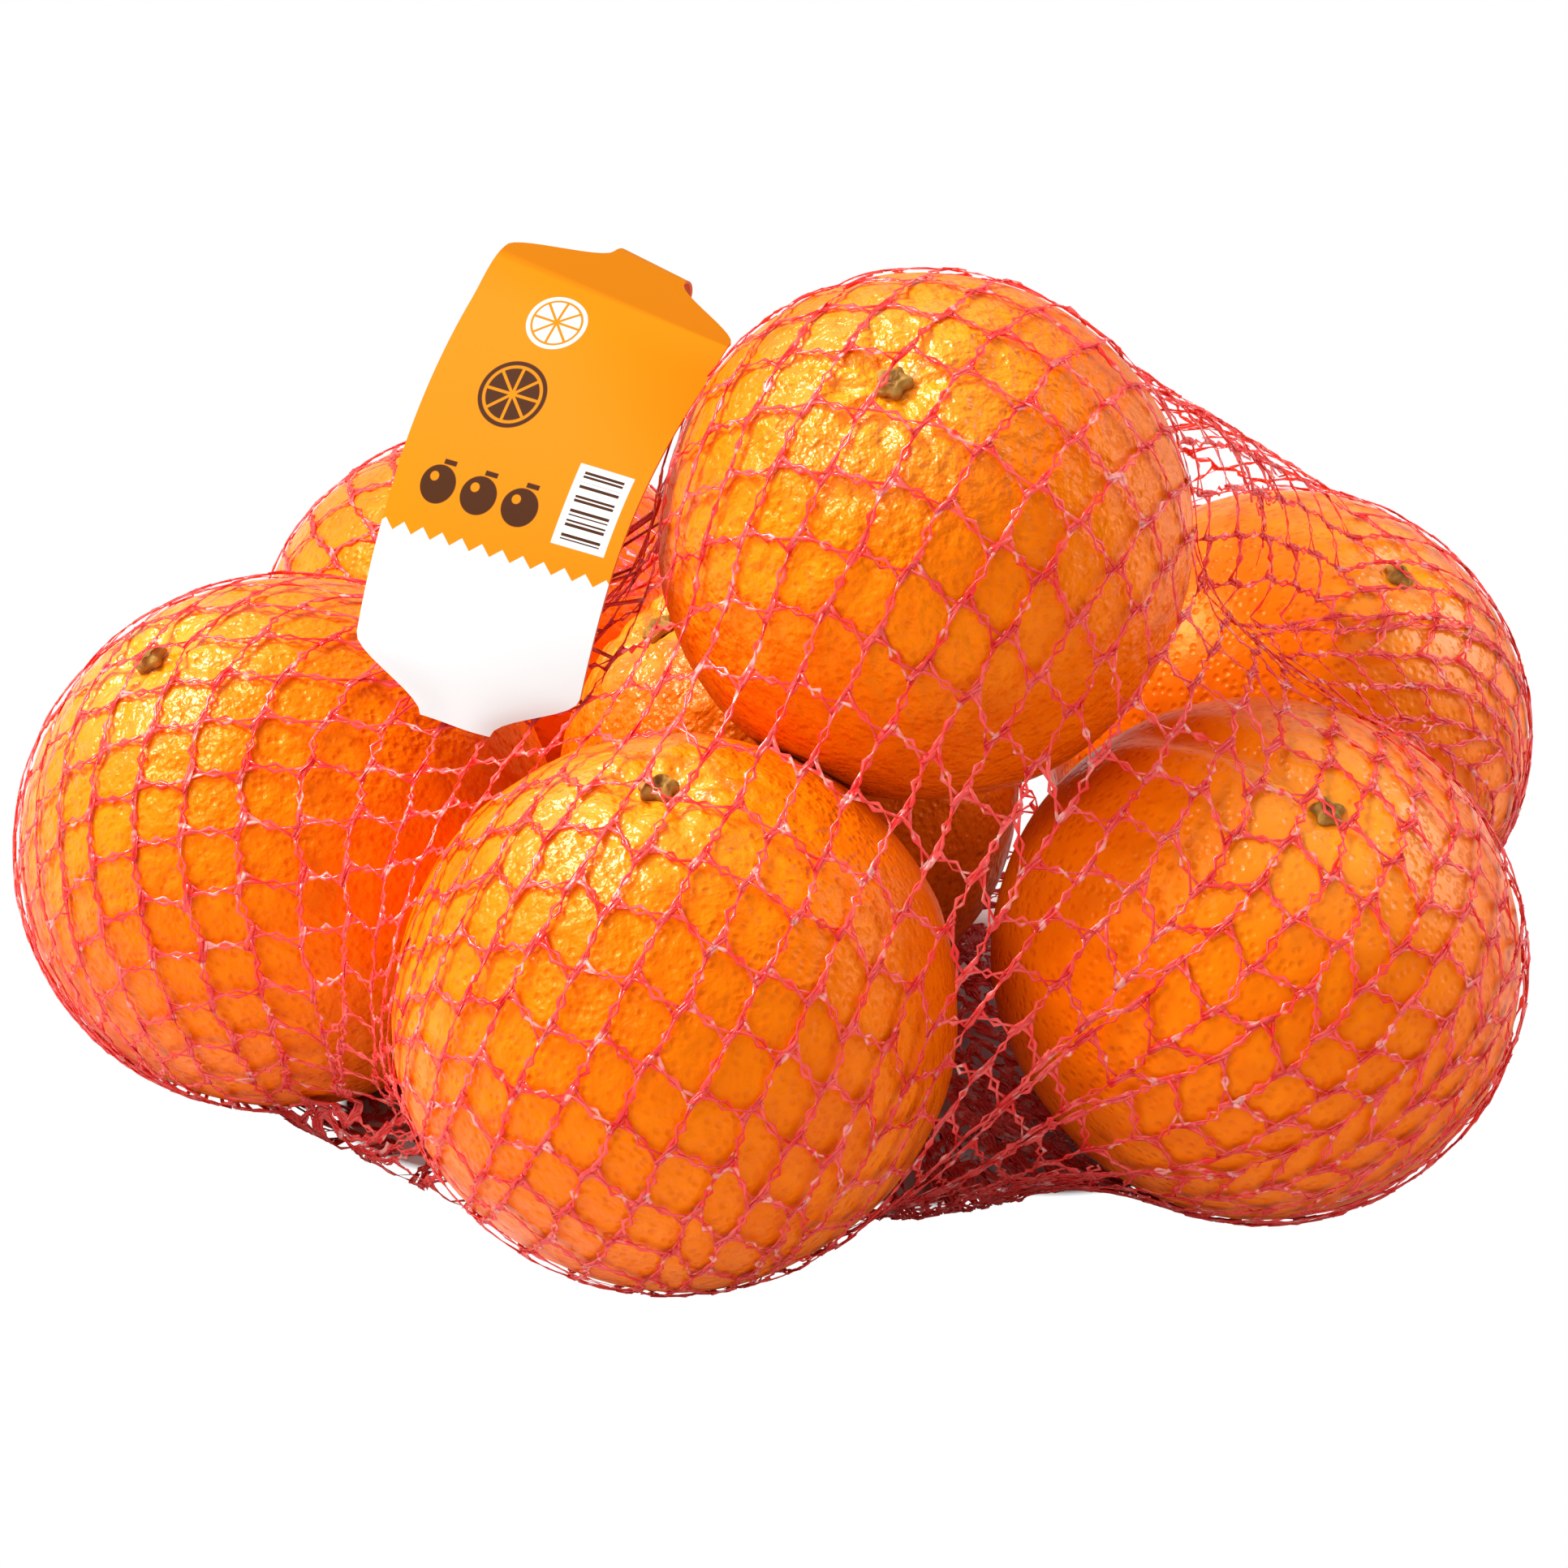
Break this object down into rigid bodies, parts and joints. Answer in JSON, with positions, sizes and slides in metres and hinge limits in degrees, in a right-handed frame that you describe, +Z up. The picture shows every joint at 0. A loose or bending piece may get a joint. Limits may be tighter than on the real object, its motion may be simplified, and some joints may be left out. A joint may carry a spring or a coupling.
{
  "type": "net of oranges",
  "caption": "Family net of hand oranges: loose round fruit drawn tight in a red knitted plastic net, clipped at both ends, with a folded strip label clipped on top",
  "frame": {"origin": "on the floor, under the middle of the whole bag", "axes": "+Z up, -Y towards the viewer of the picture, +X to the right; the bag lies on its side"},
  "size_m": [0.254, 0.227, 0.1428],
  "materials": {
    "peel": null,
    "net_tape": "translucent red polyethylene tape, knitted",
    "stem_button": "dry olive-brown fruit button",
    "label_film": "satin printed film, orange over white",
    "clip_metal": "plain crimped"
  },
  "bodies": {
    "root": {"net_with_oranges": "peel", "label": "label_film", "clip_label": "clip_metal", "clip_left": "clip_metal", "clip_right": "clip_metal"}
  },
  "joints": []
}
